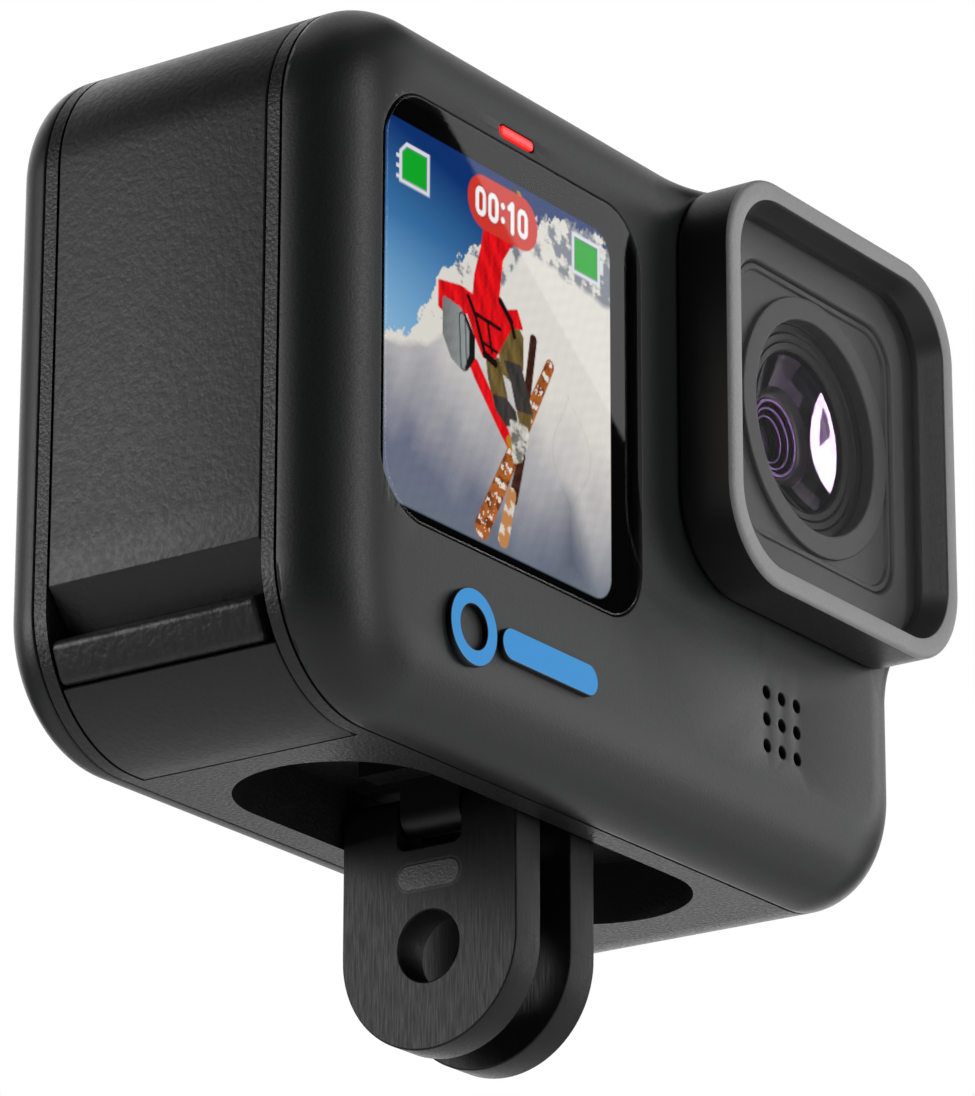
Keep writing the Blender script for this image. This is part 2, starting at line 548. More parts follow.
class CAMERA_OT_front_shell(bpy.types.Operator):
    """Front casing with its fillet, window and lens openings, light slot, microphone holes and lens boss"""
    bl_idname = "camera_part.front_shell"
    bl_label = "Front shell"

    def execute(self, context):
        casing = context.scene.camera_casing
        width, lip = casing.fillet / MM, casing.lip / MM
        rings = shell_rings(FRONT_SEAM, FACE_Y, width, lip)
        skin = lambda q: fillet_y(outline_inset(q), width, lip, FRONT_SEAM - FACE_Y)
        holes = [(*rounded((WINDOW_HIGH - WINDOW_LOW)[0] / 2 + 0.06, (WINDOW_HIGH - WINDOW_LOW)[2] / 2 + 0.06,
                           4.32, 20, 20),
                  WINDOW, 1.25),
                 (*stadium((LIGHT_HIGH - LIGHT_LOW)[0] - 0.6, (LIGHT_HIGH - LIGHT_LOW)[2] - 0.6),
                  (LIGHT_LOW + LIGHT_HIGH) / 2, 0.8),
                 (*circle(9.55, 96), LENS, 0.9)]
        pitch = (MIC_HIGH - MIC_LOW)[0] / 3.6
        holes += [(*circle(0.48, 24), (MIC_LOW + MIC_HIGH) / 2 + [i * pitch, 0, k * pitch], 1.6)
                  for i in (-1, 0, 1) for k in (-1, 0, 1)]
        turn = np.linspace(0, math.pi / 2, 5)
        grow = np.concatenate([0.1 * (1 - np.sin(turn)), [0]])
        islands, loops = [grid(rings[:8], False, True)], [r[:, [0, 2]] - [0, MID_Z] for r in rings[7:]]
        for points, normals, middle, deep in holes:
            q = points[None] + normals[None] * grow[:, None, None] + [middle[0], middle[2] - MID_Z]
            drop = np.concatenate([0.1 * (1 - np.cos(turn)), [deep]])
            level = skin(q[0])[None] + drop[:, None]
            islands.append(grid(np.stack([q[..., 0], level, q[..., 1] + MID_Z], -1), False, True))
            loops.append(q[0])
        islands.append(skin_between(loops[:-len(holes)], loops[-len(holes):], skin))
        build("casing_front", "camera_body", islands, [finish_of("shell_plastic")],
              ["front_shell"], wall=0.3)
        # The boss: its outline flares from its wall into the fillet, with (1 - t) cubed of the height left at t
        reach = casing.blend / MM
        points, normals = rounded(COVER_HALF, COVER_HALF, 6.55, 24, 24)
        around = points + [LENS[0], LENS[2] - MID_Z]
        room = outline_inset(around) - 0.03
        reach = np.clip(room, 0.25, reach)
        rows = []
        for t in np.linspace(0, 1, 22):
            q = around + normals * (reach * t)[:, None]
            low = fillet_y(outline_inset(q), width, lip, FRONT_SEAM - FACE_Y)
            y = low + (FACE_Y - low) * (1 - t) ** 3
            rows.append(np.column_stack([q[:, 0], y + 0.015 + 0.03 * t, q[:, 1] + MID_Z]))
        last = rows[-1]
        inner, _ = rounded(COVER_HALF - 2, COVER_HALF - 2, 4.55, 24, 24)
        foot = np.column_stack([inner[:, 0] + LENS[0], np.minimum(last[:, 1] + 0.6, FRONT_SEAM - 0.2),
                                inner[:, 1] + LENS[2]])
        top = np.column_stack([inner[:, 0] + LENS[0], np.full(len(inner), FACE_Y + 0.02),
                               inner[:, 1] + LENS[2]])
        build("lens_boss", "camera_body",
              [grid(np.array([top] + rows + [foot]), True, True)], [finish_of("shell_plastic")])
        return {"FINISHED"}


def outline_inset(points):
    """Distance of points inside the body's outline: the radius less the length past its corner centre."""
    q = np.abs(points) - [HALF_W - CORNER_R, HALF_H - CORNER_R]
    outside = np.linalg.norm(np.maximum(q, 0), axis=-1) + np.minimum(q.max(-1), 0)
    return CORNER_R - outside


class CAMERA_OT_rear_shell(bpy.types.Operator):
    """Rear casing and its touch glass"""
    bl_idname = "camera_part.rear_shell"
    bl_label = "Rear shell"

    def execute(self, context):
        lip = context.scene.camera_casing.lip / MM
        rings = shell_rings(REAR_SEAM, BACK_Y, 3.6, lip)
        half = (GLASS_HIGH - GLASS_LOW) / 2
        middle = (GLASS_HIGH + GLASS_LOW) / 2
        p, n = rounded(half[0] + 0.08, half[2] + 0.08, 4.05)
        rows = []
        for grow, y in ((0.12, 0), (0.1, 0), (0.03, -0.03), (0, -0.1), (0, -1.05)):
            q = p + n * grow
            rows.append(np.column_stack([q[:, 0] + middle[0], np.full(len(q), BACK_Y + y),
                                         q[:, 1] + middle[2]]))
        flat = cap([rings[-1][:, [0, 2]], rows[0][:, [0, 2]]],
                   lambda q: np.column_stack([q[:, 0], np.full(len(q), BACK_Y), q[:, 1]]))
        build("casing_rear", "camera_body",
              [grid(rings, False, True), grid(np.array(rows), False, True), flat],
              [finish_of("shell_plastic")], ["rear_shell"], wall=0.9)
        g, gn = rounded(half[0], half[2], 3.95)
        islands = plate([(g, gn, 1)], GLASS_LOW[1], BACK_Y, 0.1, facing_front(middle[0], middle[2]), back=0.3)
        build("rear_glass", "camera_body", islands, [finish_of("window_glass")],
              ["rear_touch_glass"])
        return {"FINISHED"}


def door_path():
    """Door section in the X-Z plane from its hinge over the side, into the hollow and round the lower corner."""
    cx, low, high = -HALF_W + CORNER_R, MID_Z - HALF_H + CORNER_R, MID_Z + HALF_H - CORNER_R
    tilt = math.radians(25.5)

    def latch(x, z):
        return [cx + x * math.cos(tilt) - z * math.sin(tilt), low + x * math.sin(tilt) + z * math.cos(tilt)]

    def arc(x, z, r, a, b, steps):
        t = np.radians(np.linspace(a, b, steps))
        return np.column_stack([x + r * np.cos(t), z + r * np.sin(t)])

    top = MID_Z + HALF_H
    hollow = MID_Z - HALF_H + 10.7
    start = 180 + 25.5 + math.degrees(math.asin(1.7 / CORNER_R))
    return np.concatenate([
        [[DOOR_HIGH[0], top - 2.2]], arc(DOOR_HIGH[0] - 1.3, top - 1.3, 1.3, 0, 90, 9),
        arc(cx, high, CORNER_R, 90.5, 180, 25),
        np.column_stack([np.full(8, -HALF_W), np.linspace(high, hollow + 0.12, 10)[1:-1]]),
        [[-HALF_W, hollow + 0.12], [-HALF_W + 0.03, hollow + 0.02], [-HALF_W + 0.12, hollow - 0.1]],
        [latch(-7.35, 1.85), latch(-7.35, -1.7), latch(-9.3, -1.7)],
        arc(cx, low, CORNER_R, start + 0.6, 270, 17),
        [[DOOR_HIGH[0] - 0.1, low - CORNER_R], [DOOR_HIGH[0], low - CORNER_R + 0.1],
         [DOOR_HIGH[0], low - CORNER_R + 1.0]],
    ]), latch


class CAMERA_OT_battery_door(bpy.types.Operator):
    """Battery door with its finger hollow, and the latch bar in it"""
    bl_idname = "camera_part.battery_door"
    bl_label = "Battery door"

    def execute(self, context):
        path, latch = door_path()
        step = np.gradient(path, axis=0)
        normal = np.stack([-step[:, 1], step[:, 0]], -1)
        normal /= np.linalg.norm(normal, axis=1)[:, None]
        y0, y1, edge = DOOR_LOW[1], DOOR_HIGH[1], 0.14
        turn = np.linspace(0, math.pi / 2, 5)
        inset = np.concatenate([[0.9], edge * (1 - np.sin(turn)), edge * (1 - np.sin(turn[::-1])), [0.9]])
        level = np.concatenate([[y0 + 0.04], y0 + 0.04 + edge * (1 - np.cos(turn)),
                                y1 - 0.04 - edge * (1 - np.cos(turn[::-1])), [y1 - 0.04]])
        rows = []
        for d, y in zip(inset, level):
            q = path + normal * d
            rows.append(np.column_stack([q[:, 0], np.full(len(q), y), q[:, 1]]))
        build("door_skin", "battery_door", [grid(np.array(rows))],
              [finish_of("door_plastic")], ["battery_door"], wall=0.3)
        # The latch bar: its rounded section shrinks over a quarter circle at both ends
        corners = [latch(-9.62, -1.6), latch(-7.65, -1.6), latch(-7.65, 1.55), latch(-9.62, 1.55)]
        section, _ = round_corners(corners, [0.7, 0.25, 0.25, 0.6], 8)
        y0, y1, end = LATCH_LOW[1] + 0.25, LATCH_HIGH[1] + 0.45, 0.3
        turn = np.linspace(0, math.pi / 2, 7)
        inset = np.concatenate([end * (1 - np.sin(turn)), end * (1 - np.sin(turn[::-1]))])
        level = np.concatenate([y0 + end * (1 - np.cos(turn)), y1 - end * (1 - np.cos(turn[::-1]))])
        rows = []
        centre = section.mean(0)
        for d, y in zip(inset, level):
            q = centre + (section - centre) * (1 - d)
            rows.append(np.column_stack([q[:, 0], np.full(len(q), y), q[:, 1]]))
        ends = [np.repeat([[centre[0], y, centre[1]]], len(section), 0) for y in (y0, y1)]
        build("latch_bar", "door_latch",
              [grid(np.array([ends[0]] + rows + [ends[1]]), False, True)],
              [finish_of("latch_plastic")], ["door_latch"])
        return {"FINISHED"}


class CAMERA_OT_lens_cover(bpy.types.Operator):
    """Lens cover with its satin rim, throat and steps, and the plate behind its glass"""
    bl_idname = "camera_part.lens_cover"
    bl_label = "Lens cover"

    def execute(self, context):
        h, y0 = COVER_HALF, COVER_LOW[1]
        back = FACE_Y - 0.12
        glass = box_mm("cover_glass")
        turn = np.linspace(0, math.pi / 2, 7)
        # Each row is (half side, corner radius, depth, finish)
        rows = [(h - 3, 3.55, back, 0), (h - 0.2, 6.35, back, 0), (h, 6.55, back - 0.2, 0)]
        rows += [(h, 6.55, y, 0) for y in np.linspace(back - 0.4, y0 + 0.6, 6)]
        rows += [(h - 0.35 * (1 - math.cos(t)), 6.55 - 0.35 * (1 - math.cos(t)),
                  y0 + 0.35 * (1 - math.sin(t)), 1) for t in turn]
        rows += [(h - 0.45, 6.1, y0, 1), (h - 1.35, 5.35, y0, 1), (h - 1.44, 5.3, y0 + 0.04, 1),
                 (h - 1.45, 5.3, y0 + 0.12, 2)]
        rows += [(h - 1.52, 5.2, y0 + 0.22, 2)]
        rows += [(h - 1.52 - 0.55 * t, 5.2 - 0.3 * t, y0 + 0.22 + 1.6 * t, 2)
                 for t in (0.05, 0.35, 0.65, 1.0)]
        rows += [(h - 2.12, 4.85, glass[0][1] + 0.05, 2), (h - 2.13, 4.85, glass[1][1] + 0.02, 2)]
        rows += [(10.75, 3.3, glass[1][1] + 0.03, 2), (10.6, 3.2, glass[1][1] + 0.08, 2),
                 (10.5, 3.15, glass[1][1] + 0.25, 2)]
        rows += [(10.45, 3.1, BEZEL_HIGH[1] + 0.2, 2), (10.45, 3.1, back - 0.3, 0)]
        rings = []
        for half, r, y, _ in rows:
            p, _ = rounded(half, half, r, 20, 14)
            rings.append(np.column_stack([p[:, 0] + LENS[0], np.full(len(p), y), p[:, 1] + LENS[2]]))
        _, faces, _ = grid(np.array(rings), True, True)
        count = len(rings[0])
        groups = [[f for i, f in enumerate(faces) if rows[i // count][3] == k] for k in (0, 1, 2)]
        everything = np.array(rings).reshape(-1, 3)
        build("cover_square", "lens_cover",
              [(everything, groups[0], 0), (everything, groups[1], 1)],
              [finish_of("cover_plastic"), finish_of("cover_rim")], ["cover_frame"], smooth=50)
        throat = build("cover_throat", "lens_cover", [(everything, groups[2], 0)],
                       [finish_of("cover_inner")], smooth=50)
        # The plate behind the glass: a step frame, the flat plate and a raised ring with rounded edges
        y = BEZEL_LOW[1] + 0.38
        steps = [(10.4, 3.0, y + 0.45), (10.38, 3.0, y - 0.12), (10.3, 2.95, y - 0.2), (10.0, 2.8, y - 0.2),
                 (9.92, 2.75, y - 0.12), (9.88, 2.7, y)]
        frame_rows = []
        for half, r, depth in steps:
            p, _ = rounded(half, half, r, 20, 14)
            frame_rows.append(np.column_stack([p[:, 0] + LENS[0], np.full(len(p), depth), p[:, 1] + LENS[2]]))
        hole, _ = circle(9.5, 96)
        place = lambda q, d=y: np.column_stack([q[:, 0] + LENS[0], np.full(len(q), d), q[:, 1] + LENS[2]])
        flat = cap([rounded(9.88, 9.88, 2.7, 20, 14)[0], hole], place)
        low = cap([rounded(10.4, 10.4, 3.0, 20, 14)[0], hole], lambda q: place(q, y + 0.45))
        wall = turned([9.5, 9.5], [y, y + 0.45], LENS[0], LENS[2])
        top, depth = BEZEL_LOW[1], y + 0.3
        bend = np.linspace(0, math.pi / 2, 5)
        radii = np.concatenate([[9.6], np.full(5, 9.8), 9.8 - 0.12 * (1 - np.cos(bend)), [9.6, 8.3],
                                8.03 + 0.15 * (1 - np.sin(bend)), [8.03, 8.2]])
        levels = np.concatenate([[depth], np.linspace(depth, top + 0.12, 5), top + 0.12 * (1 - np.sin(bend)),
                                 [top, top],
                                 top + 0.15 * (1 - np.cos(bend)), [depth + 0.35, depth + 0.35]])
        ring = turned(radii, levels, LENS[0], LENS[2], wrap=True)
        plate_piece = build("cover_plate", "lens_cover",
                            [grid(np.array(frame_rows), False, True), flat, low, wall, ring],
              [finish_of("cover_inner")], ["cover_bezel"])
        lit_only("throat_card", [throat, plate_piece])
        frame["nodes"]["cover_glass"].data.materials[0] = finish_of("cover_glass")
        return {"FINISHED"}


class CAMERA_OT_lens(bpy.types.Operator):
    """Ribbed barrel mouth, front dome, its polished bevel, and the coated elements inside"""
    bl_idname = "camera_part.lens"
    bl_label = "Lens"

    def execute(self, context):
        x, z = LENS[0], LENS[2]
        rise = context.scene.camera_detail.dome_rise / MM
        seat, edge_r = DOME_HIGH[1] - 1.2, (DOME_HIGH[0] - DOME_LOW[0]) / 2
        front = BARREL_LOW[1]
        # Mouth: ribs of a shallow cone step down from the barrel's edge to the dome
        radii, levels = [9.6], [front + 3]
        outer, down = np.linspace(9.4, edge_r + 0.15, 6), np.linspace(front, seat - 0.35, 6)
        for i in range(5):
            radii += [outer[i], outer[i] - 0.1, outer[i + 1] + 0.12, outer[i + 1]]
            levels += [down[i] + 0.14, down[i], down[i] + 0.05, down[i] + 0.16]
        radii += [edge_r + 0.1, edge_r + 0.1]
        levels += [seat + 0.2, front + 3]
        build("barrel_mouth", "camera_body", [turned(radii, levels, x, z, wrap=True)],
              [finish_of("black_anodised")], ["lens_barrel"], smooth=30)
        # Dome: part of a sphere through the seat, with its rise at the axis, and a thin wall
        ball = (edge_r ** 2 + rise ** 2) / (2 * rise)
        angle = np.linspace(0, math.asin(edge_r / ball), 28)
        dome_r, dome_y = ball * np.sin(angle), seat - rise + ball * (1 - np.cos(angle))
        build("front_dome", "camera_body",
              [turned(np.concatenate([dome_r, dome_r[::-1] * 0.96]),
                      np.concatenate([dome_y, dome_y[::-1] + 0.3]), x, z)],
              [finish_of("dome_glass")], ["front_element"])
        # Bevel: a hollow ring of a sphere whose centre is in front, r = ball sin a and depth ball cos a
        hollow = 10.2
        angle = np.radians(np.linspace(35.0, 21.5, 20))
        bevel_r = hollow * np.sin(angle)
        bevel_y = seat + 0.05 + hollow * (np.cos(angle) - math.cos(math.radians(35.0)))
        bevel = build("lens_bevel", "camera_body",
              [turned(np.concatenate([bevel_r, [bevel_r[-1], bevel_r[0]]]),
                      np.concatenate([bevel_y, [bevel_y[-1] + 0.3] * 2]), x, z, wrap=True)],
              [finish_of("lens_bevel")])
        # Cone behind the bevel, then stepped coated rims that close in on the smallest element
        cone_r = np.linspace(bevel_r[-1] - 0.01, 3.0, 12)
        cone_y = bevel_y[-1] + 0.02 + 0.6 * np.sin(np.linspace(0, math.pi / 2, 12))
        build("lens_cone", "camera_body",
              [turned(np.concatenate([cone_r, [3.0, cone_r[0]]]),
                      np.concatenate([cone_y, [cone_y[-1] + 0.4] * 2]), x, z, wrap=True)],
              [finish_of("lens_cone")], ["element_retainer"])
        level = cone_y[-1]
        for i, (r, thick) in enumerate(((2.85, 0.2), (2.3, 0.16), (1.75, 0.14))):
            bend = np.linspace(0, 2 * math.pi, 20, endpoint=False)
            build(f"coated_rim_{i + 1}", "camera_body",
                  [turned(r + thick * np.cos(bend), level + 0.3 * i + 0.14 * np.sin(bend), x, z, wrap=True)],
                  [finish_of("lens_rim")])
        r, high, y = 2.9, 0.7, level + 1.6
        ball = (r ** 2 + high ** 2) / (2 * high)
        angle = np.linspace(0, math.asin(r / ball), 24)
        build("inner_element", "camera_body",
              [turned(np.concatenate([ball * np.sin(angle), [r, 0]]),
                      np.concatenate([y - high + ball * (1 - np.cos(angle)), [y + 0.2] * 2]), x, z)],
              [finish_of("lens_glass")])
        lit_only("element_card", [bevel])
        return {"FINISHED"}


# ---- The display picture ----

def stroke(u, v, a, b, wide_a, wide_b=None):
    """Distance outside a tapered stroke from a to b: distance to the segment less its half width there."""
    a, b = np.array(a, float), np.array(b, float)
    d = b - a
    t = np.clip(((u - a[0]) * d[0] + (v - a[1]) * d[1]) / (d @ d), 0, 1)
    wide = wide_a + ((wide_a if wide_b is None else wide_b) - wide_a) * t
    return np.hypot(u - a[0] - t * d[0], v - a[1] - t * d[1]) - wide


def patch(u, v, corners, soft=0.0):
    """Distance outside a closed outline: the least distance to its sides, negative where a crossing count from
    the left is odd, less a rounding."""
    far, crossed = np.full(u.shape, 1e3), np.zeros(u.shape, bool)
    for a, b in zip(corners, corners[1:] + corners[:1]):
        far = np.minimum(far, stroke(u, v, a, b, 0))
        crossed ^= ((a[1] > v) != (b[1] > v)) & (u < (b[0] - a[0]) * (v - a[1]) / (b[1] - a[1] + 1e-12) + a[0])
    return np.where(crossed, -far, far) - soft


def waves(u, v, seed, scale, octaves=5):
    """Smooth seeded noise from 0 to 1: sums of crossed sine waves at doubling rates and seeded angles."""
    rng = np.random.default_rng(seed)
    total, weight = 0, 0
    for i in range(octaves):
        for _ in range(3):
            angle, phase = rng.uniform(0, 2 * math.pi, 2)
            k = 2 ** i / scale * rng.uniform(0.8, 1.25) * 2 * math.pi
            total = total + np.sin((u * math.cos(angle) + v * math.sin(angle)) * k + phase) / 1.8 ** i
            weight += 1 / 1.8 ** i
    return 0.5 + 0.9 * total / weight


def paint(u, v):
    """Picture colours at points u across and v up from the middle, in millimetres: sky, mountains, snow slope,
    a generic helmeted skier, two charge symbols and a timer."""
    def tone(code):
        return np.array(linear(code)[:3])

    def put(mask, value):
        m = np.clip(mask, 0, 1)[..., None]
        return picture * (1 - m) + value * m

    def inside(distance, soft=0.08):
        return 0.5 - distance / soft

    n1, n2, n3 = waves(u, v, 3, 9), waves(u, v, 5, 2.4), waves(u, v, 8, 0.9, 3)
    folds = 0.62 + 0.75 * np.clip(waves(u * 1.6, v, 44, 2.2, 4), 0, 1)[..., None]
    # Sky: deep blue above, paler down to the ridge
    fall = np.clip((13.4 - v - 0.25 * (u + 13)) / 15, 0, 1)[..., None]
    picture = tone("#0E3474") * (1 - fall) + tone("#58A4DC") * fall
    glow = (np.clip(1 - np.abs(v + 1.5) / 8, 0, 1) * np.clip(1 - (u + 13) / 12, 0, 1))[..., None]
    picture = picture * (1 - 0.5 * glow) + tone("#A8C8DC") * 0.5 * glow
    # Ridge: rises to the right, snow with slanting rock bands that grow darker to the right
    ridge = np.interp(u, [-13.4, -11, -9, -7.4, -5.1, -2.1, -0.3, 2.1, 3.3, 5.1, 7.5, 12, 13.2],
                      [-1.9, -1.5, 1.4, 4.2, 6.2, 7.6, 7.9, 9.6, 11.2, 12.4, 13.0, 13.0,
                       12.6]) + (n2 - 0.5) * 0.9 + (n3 - 0.5) * 0.7
    bands = 0.6 * waves(u * 0.9 + v * 0.7, v * 0.4 - u * 0.4, 21, 3.4, 6) + 0.4 * waves(u, v, 29, 1.1, 5)
    rock = np.clip((bands - 0.55 + 0.022 * u) * 4.5, 0, 0.8)[..., None]
    snow = tone("#E6E3DA") * (1 - rock) + tone("#4E5C78") * rock
    picture = put(inside(v - ridge, 0.15), snow)
    # Near slope: warm white on the right, violet-grey in the shade to the lower left
    edge = np.interp(u, [-13.4, -9, -6.9, -3, -0.7, 1, 2.4, 4.4, 8.5, 13],
                     [-2.5, -2.0, -0.2, 2.4, 4.6, 7.0, 8.8, 9.0, 8.6, 8.2]) + (n1 - 0.5) * 0.9
    shade = np.clip((2.5 - v) / 15 - (u + 3) * 0.02 + (n1 - 0.5) * 0.2, 0, 1)[..., None]
    slope = tone("#EAE6DF") * (1 - shade) + tone("#70748A") * shade
    low = np.clip((-9 - v) / 5, 0, 1)[..., None] * 0.7
    slope = slope * (1 - low) + tone("#6E7A88") * low
    for a, turn in (((7.2, -2.0), 0.25), ((9.0, -1.0), -0.3)):
        track = np.abs(u - a[0] - 0.9 * np.sin((v - a[1]) * 0.55) * turn * 6 - (v + 4) * -0.12)
        slope = slope * (1 - 0.1 * np.clip(1 - track / 0.12, 0, 1) * (v < 0))[..., None]
    slope = slope * (0.96 + 0.07 * n3[..., None])
    picture = put(inside(v - edge, 0.5), slope)
    cast = patch(u, v, [(7.4, -7.2), (8.6, -7.4), (9.4, -9.4), (10.8, -14), (6.0, -14), (6.6, -9.8)], 0.2)
    picture = put(inside(cast, 1.4) * 0.45, tone("#5A6274"))
    # Skis with worn bases, crossing under the boots
    worn = np.clip((waves(u + v * 0.3, v, 33, 1.6, 5) - 0.55) * 6, 0, 1)[..., None]
    wood = tone("#B9692F") * (0.55 + 0.7 * n2[..., None])
    picture = put(inside(stroke(u, v, (3.6, 2.7), (2.7, -2.5), 0.42, 0.42)),
                  tone("#3E2218") * (0.6 + 0.8 * n3[..., None]))
    picture = put(inside(stroke(u, v, (2.2, -6.2), (1.2, -9.6), 0.42, 0.5)),
                  tone("#43261B") * (0.6 + 0.8 * n3[..., None]))
    picture = put(inside(stroke(u, v, (1.0, -9.4), (0.0, -12.9), 0.52, 0.62)),
                  (tone("#C98B55") * (1 - worn) + tone("#E9DDCF") * worn))
    run = stroke(u, v, (5.6, 1.4), (-2.5, -12.8), 0.5, 0.85)
    picture = put(inside(run), wood * (1 - worn) + tone("#7A3A1E") * worn)
    chips = np.clip((waves(u, v, 12, 1.2, 5) - 0.66) * 9, 0, 1)
    picture = put(inside(run + 0.12) * chips, tone("#EFE6DA"))
    # Arm that reaches down, with its glove
    red = tone("#E4121A") * folds
    picture = put(inside(patch(u, v, [(-4.4, -0.9), (-3.2, -1.0), (0.5, -4.9), (1.0, -5.7), (0.5, -6.0),
                                      (-0.4, -5.2), (-3.4, -2.2)], 0.12)), red)
    picture = put(inside(stroke(u, v, (0.75, -5.6), (1.2, -6.1), 0.42, 0.3)), tone("#B8862F"))
    # Legs, knees and boots
    olive, dark = tone("#6E5C33") * folds, tone("#403C3A") * folds
    picture = put(inside(patch(u, v, [(-2.0, -0.2), (-0.6, -0.1), (0.3, -2.4), (0.5, -3.9), (-0.9, -3.6),
                                      (-1.7, -1.8)], 0.15)), olive)
    picture = put(inside(patch(u, v, [(-1.2, -2.9), (0.3, -2.7), (1.4, -3.3), (1.6, -4.2), (0.3, -4.5),
                                      (-0.8, -3.8)], 0.12)), dark)
    picture = put(inside(patch(u, v, [(0.0, 2.6), (1.6, 3.0), (2.2, 2.4), (2.2, 0.2), (1.6, -1.2),
                                      (0.0, -0.8), (-0.5, 0.8)], 0.2)), olive)
    picture = put(inside(patch(u, v, [(0.2, 0.0), (2.0, 0.2), (2.6, -1.0), (3.4, -2.8), (2.6, -3.5),
                                      (1.6, -2.9), (1.0, -1.2)], 0.15)), dark)
    picture = put(inside(patch(u, v, [(1.7, -3.2), (3.3, -3.0), (3.1, -4.0), (2.2, -4.4)], 0.1)), olive)
    boots = tone("#D8D5CC") * (1 - rock) + tone("#4A463E") * rock
    picture = put(inside(patch(u, v, [(0.9, -4.1), (2.8, -4.1), (3.0, -4.8), (2.1, -6.6), (1.3, -6.9),
                                      (1.1, -5.4)], 0.15)), boots * (0.7 + 0.5 * n3[..., None]))
    # Jacket, sleeve and raised arm with its glove
    picture = put(inside(patch(u, v, [(-7.6, 3.4), (-5.0, 3.8), (-3.6, 3.6), (-3.4, 5.2), (-2.6, 7.6),
                                      (-2.2, 9.4), (-0.4, 10.8),
                                      (1.0, 10.4), (1.1, 9.2), (-0.2, 7.4), (-0.6, 4.6), (-0.1, 3.6),
                                      (1.6, 4.2), (2.2, 3.1), (1.0, 2.9),
                                      (-0.2, 1.2), (-1.0, 0.0), (-2.4, -0.4), (-3.4, 0.8), (-4.3, 2.2),
                                      (-6.4, 1.2), (-7.6, 1.6)], 0.12)), red)
    picture = put(inside(stroke(u, v, (1.0, 10.8), (1.7, 12.6), 0.75, 0.6)), tone("#B08C36") * folds)
    picture = put(inside(stroke(u, v, (1.3, 13.2), (2.2, 11.6), 0.22)), tone("#30373E"))
    for a, b, w in (((-4.2, 3.4), (-3.3, 2.2), 0.2), ((-3.3, 2.4), (-0.4, 2.2), 0.16),
                    ((-0.4, 4.3), (0.9, 3.2), 0.26), ((0.9, 3.2), (1.3, 2.2), 0.2),
                    ((-3.2, 1.9), (-2.3, 0.0), 0.2), ((-2.6, 0.6), (-0.8, 0.4), 0.13),
                    ((-1.9, 2.2), (-1.4, 0.2), 0.14), ((-2.2, -0.2), (-1.0, -0.5), 0.3)):
        picture = put(inside(stroke(u, v, a, b, w)), tone("#1E0E10"))
    # Helmet: a plain grey shell with its goggle strap
    picture = put(inside(patch(u, v, [(-4.6, 1.8), (-3.6, 0.6), (-3.6, -0.9), (-4.4, -1.9), (-5.0, -1.4)],
                               0.2)), tone("#16181A"))
    shell = patch(u, v, [(-6.9, 2.2), (-5.2, 2.0), (-4.4, 0.8), (-4.4, -0.8), (-4.9, -1.9), (-6.0, -1.5),
                         (-6.9, -0.2)], 0.3)
    light = 0.55 + 0.6 * np.clip((u + 7.4) / 3.0, 0, 1) + 0.15 * n3
    picture = put(inside(shell), tone("#8D9293") * light[..., None])
    picture = put(inside(np.abs(stroke(u, v, (-4.9, 1.6), (-4.7, -1.8), 0.35)) - 0.06), tone("#2A2C2E"))
    # Timer: a see-through red pill with plain numerals
    picture = put(inside(stroke(u, v, (-2.3, 10.9), (2.1, 10.9), 2.0)) * 0.84, tone("#DA3B30"))
    ink = np.full(u.shape, 99.0)
    for x in (-2.75, -1.25, 2.3):
        ink = np.minimum(ink, np.abs(stroke(u, v, (x, 11.35), (x, 10.4), 0.42)) - 0.2)
    for a, b in (((1.05, 11.9), (1.05, 9.85)), ((1.05, 11.9), (0.65, 11.5))):
        ink = np.minimum(ink, stroke(u, v, a, b, 0.21))
    for y in (11.4, 10.35):
        ink = np.minimum(ink, np.hypot(u + 0.1, v - y) - 0.24)
    picture = put(inside(ink - 0.12, 0.25) * 0.35, tone("#7A1A14"))
    picture = put(inside(ink), np.ones(3))
    # Charge and card symbols: green fill in a white frame with a grey inner line
    for x, y, half, nub in ((-10.55, 10.6, 1.75, -1), (10.1, 10.9, 1.75, 1)):
        outline = np.maximum(np.abs(u - x) - half, np.abs(v - y) - 1.55)
        fill = np.maximum(np.abs(u - x) - half + 0.36, np.abs(v - y) - 1.19)
        if nub < 0:
            cut = (v - y - (u - x) - 2.5) * 0.7
            outline, fill = np.maximum(outline, cut), np.maximum(fill, cut + 0.3)
            for k in (-1.2, -0.45, 0.3):
                outline = np.minimum(outline, np.maximum(np.abs(u - x + half + 0.15) - 0.22,
                                                         np.abs(v - y - k) - 0.14))
        else:
            outline = np.minimum(outline, np.maximum(np.abs(u - x - half - 0.2) - 0.22, np.abs(v - y) - 0.55))
        picture = put(inside(outline), tone("#E3E7EE"))
        picture = put(inside(fill - 0.07), tone("#6F7A90"))
        picture = put(inside(fill), tone("#12AE2B"))
    # Black mask outside the lit area
    lit = np.maximum(np.abs(u + 0.4) - 13.5, np.abs(v + 0.13) - 13.73)
    corner = np.hypot(np.maximum(u - 11.15, 0), np.maximum(np.abs(v + 0.13) - 11.78, 0)) - 1.95
    left = np.hypot(np.maximum(-u - 10.6, 0), np.maximum(np.abs(v) - 11.2, 0)) - 3.5
    picture = put(1 - inside(np.maximum(np.maximum(lit, corner), left)), np.array([0.0008, 0.0008, 0.0009]))
    return np.clip(picture, 0, 1)


